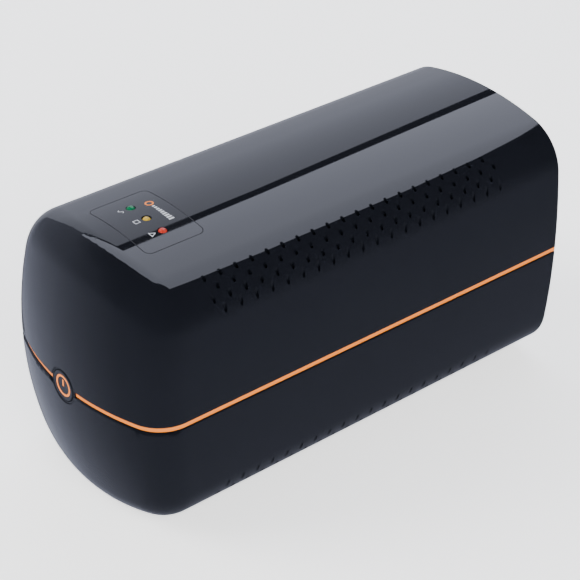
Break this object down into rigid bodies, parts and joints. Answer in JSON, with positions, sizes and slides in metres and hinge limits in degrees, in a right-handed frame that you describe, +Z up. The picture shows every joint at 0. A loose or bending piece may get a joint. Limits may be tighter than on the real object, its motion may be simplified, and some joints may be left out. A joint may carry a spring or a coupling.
{
  "type": "uninterruptible power supply",
  "caption": "Loaf-shaped uninterruptible power supply: gloss black vented shells with an orange trim band, domed front power button, lamp film on top and a recessed rear panel with outlets.",
  "frame": {"origin": "centre of the footprint, on the surface that the feet stand on", "axes": "+Z up, +Y from the domed front towards the rear panel, +X to the right seen from the front"},
  "size_m": [0.1296, 0.2868, 0.154],
  "materials": {
    "shell_gloss": "high gloss black moulded ABS",
    "trim_orange": "satin orange moulded plastic",
    "film_gloss": "printed gloss polycarbonate film",
    "button_gloss": "gloss black button",
    "ring_orange": "orange moulded inlay",
    "foot_rubber": "dull black rubber",
    "screw_steel": "zinc plated steel",
    "panel_matte": "fine textured black plastic",
    "socket_black": "satin black moulding",
    "board_green": "green solder mask",
    "battery_grey": "grained dark grey ABS",
    "battery_lid_grey": "grained dark grey ABS",
    "tin_plate": "tin plated",
    "strap_steel": "zinc plated sheet",
    "core_steel": "varnished laminations",
    "bobbin_black": "moulded nylon",
    "winding_copper": "enamelled copper under yellow tape",
    "sink_aluminium": "extruded aluminium",
    "component_black": "moulded epoxy",
    "relay_black": "moulded relay case",
    "capacitor_sleeve": "shrink sleeve",
    "fuse_glass": "clear tube",
    "header_white": "nylon",
    "contact_brass": "sprung brass",
    "lead_red": "insulated wire",
    "lead_black": "insulated wire",
    "lamp_green": "diffused lens",
    "lamp_amber": "diffused lens",
    "lamp_red": "diffused lens",
    "shutter_white": "moulded plastic",
    "spring_steel": "spring wire",
    "reset_white": "white button",
    "port_shield": "tinned shield",
    "jack_black": "moulded jack"
  },
  "bodies": {
    "case": {"top_shell": "shell_gloss", "bottom_shell": "shell_gloss", "trim_band": "trim_orange", "case_screws": "screw_steel", "rubber_feet": "foot_rubber", "display_film": "film_gloss", "mains_lamp": "lamp_green", "battery_lamp": "lamp_amber", "fault_lamp": "lamp_red", "lamp_board": "board_green", "lamp_board_screws": "screw_steel", "button_bezel": "button_gloss", "button_spring": "spring_steel", "switch_body": "component_black", "switch_board": "board_green", "switch_board_screws": "screw_steel", "battery_case": "battery_grey", "battery_lid": "battery_lid_grey", "battery_terminals": "tin_plate", "battery_strap": "strap_steel", "strap_screws": "screw_steel", "battery_connectors": "header_white", "red_lead": "lead_red", "black_lead": "lead_black", "transformer_core": "core_steel", "transformer_bobbin": "bobbin_black", "transformer_winding": "winding_copper", "transformer_clamp": "strap_steel", "transformer_screws": "screw_steel", "main_board": "board_green", "board_screws": "screw_steel", "heat_sink": "sink_aluminium", "power_transistors": "component_black", "relays": "relay_black", "capacitors": "capacitor_sleeve", "control_chip": "component_black", "buzzer": "component_black", "fuse": "fuse_glass", "fuse_clips": "tin_plate", "board_headers": "header_white", "rear_panel": "panel_matte", "left_outlet": "socket_black", "right_outlet": "socket_black", "outlet_covers": "socket_black", "outlet_contacts": "contact_brass", "earth_clips": "contact_brass", "mains_inlet": "socket_black", "inlet_pins": "tin_plate", "breaker_body": "component_black", "breaker_nut": "screw_steel", "data_ports": "jack_black", "usb_port": "port_shield", "port_board": "board_green", "port_board_screws": "screw_steel"},
    "power_button": {"power_button": "button_gloss", "button_ring": "ring_orange", "switch_plunger": "header_white"},
    "reset_button": {"reset_button": "reset_white"},
    "left_shutter": {"left_shutter": "shutter_white"},
    "right_shutter": {"right_shutter": "shutter_white"}
  },
  "joints": [
    {"name": "power_button_press", "type": "slide", "parent": "case", "child": "power_button", "axis": [0, 1, 0], "range_m": [0, 0.0025], "stiffness_N_per_m": 900, "springref_m": -0.001, "deforming": ["button_spring"]},
    {"name": "breaker_reset_travel", "type": "slide", "parent": "case", "child": "reset_button", "axis": [0, 1, 0], "range_m": [0, 0.003]},
    {"name": "left_shutter_slide", "type": "slide", "parent": "case", "child": "left_shutter", "axis": [1, 0, 0], "range_m": [0, 0.0055], "stiffness_N_per_m": 60, "springref_m": -0.001},
    {"name": "right_shutter_slide", "type": "slide", "parent": "case", "child": "right_shutter", "axis": [1, 0, 0], "range_m": [0, 0.0055], "stiffness_N_per_m": 60, "springref_m": -0.001}
  ]
}
